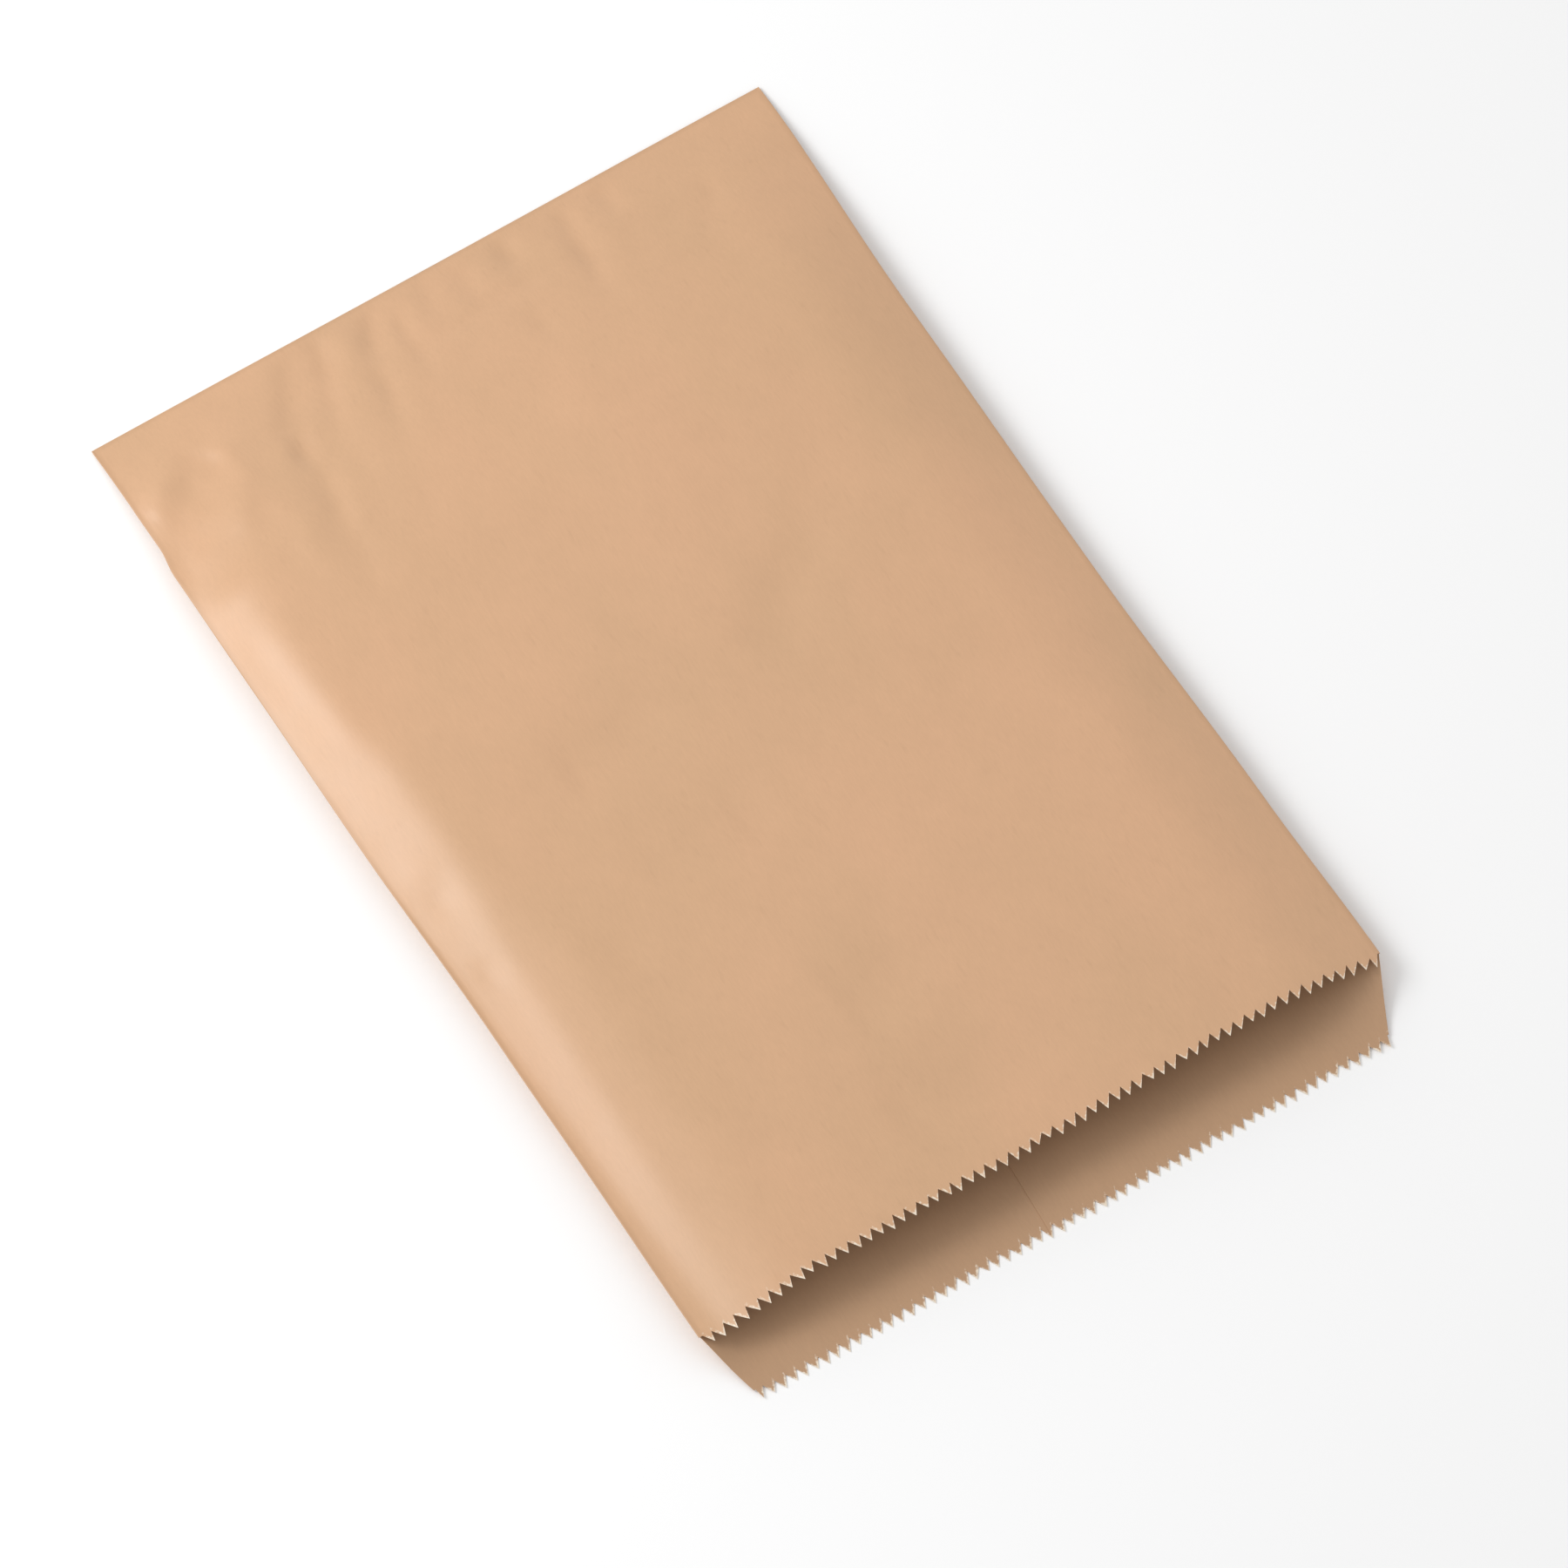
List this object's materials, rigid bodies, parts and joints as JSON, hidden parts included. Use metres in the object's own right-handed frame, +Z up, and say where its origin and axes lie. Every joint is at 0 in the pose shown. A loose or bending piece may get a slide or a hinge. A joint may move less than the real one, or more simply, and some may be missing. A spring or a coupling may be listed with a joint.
{
  "type": "flat paper bag",
  "caption": "Flat kraft paper bag with a toothed mouth, a longer back lip, a lapped back seam and a folded-over bottom, held open as when something flat lies inside.",
  "frame": {"origin": "under the middle of the bag, on the surface that it lies on", "axes": "+X across the bag, -Y out of the mouth, +Y towards the closed end, +Z up out of the front"},
  "size_m": [0.153, 0.2396, 0.01],
  "materials": {
    "kraft_paper": "smooth machine-finished kraft paper, matt with a faint sheen"
  },
  "bodies": {
    "root": {"paper_bag": "kraft_paper"}
  },
  "joints": []
}
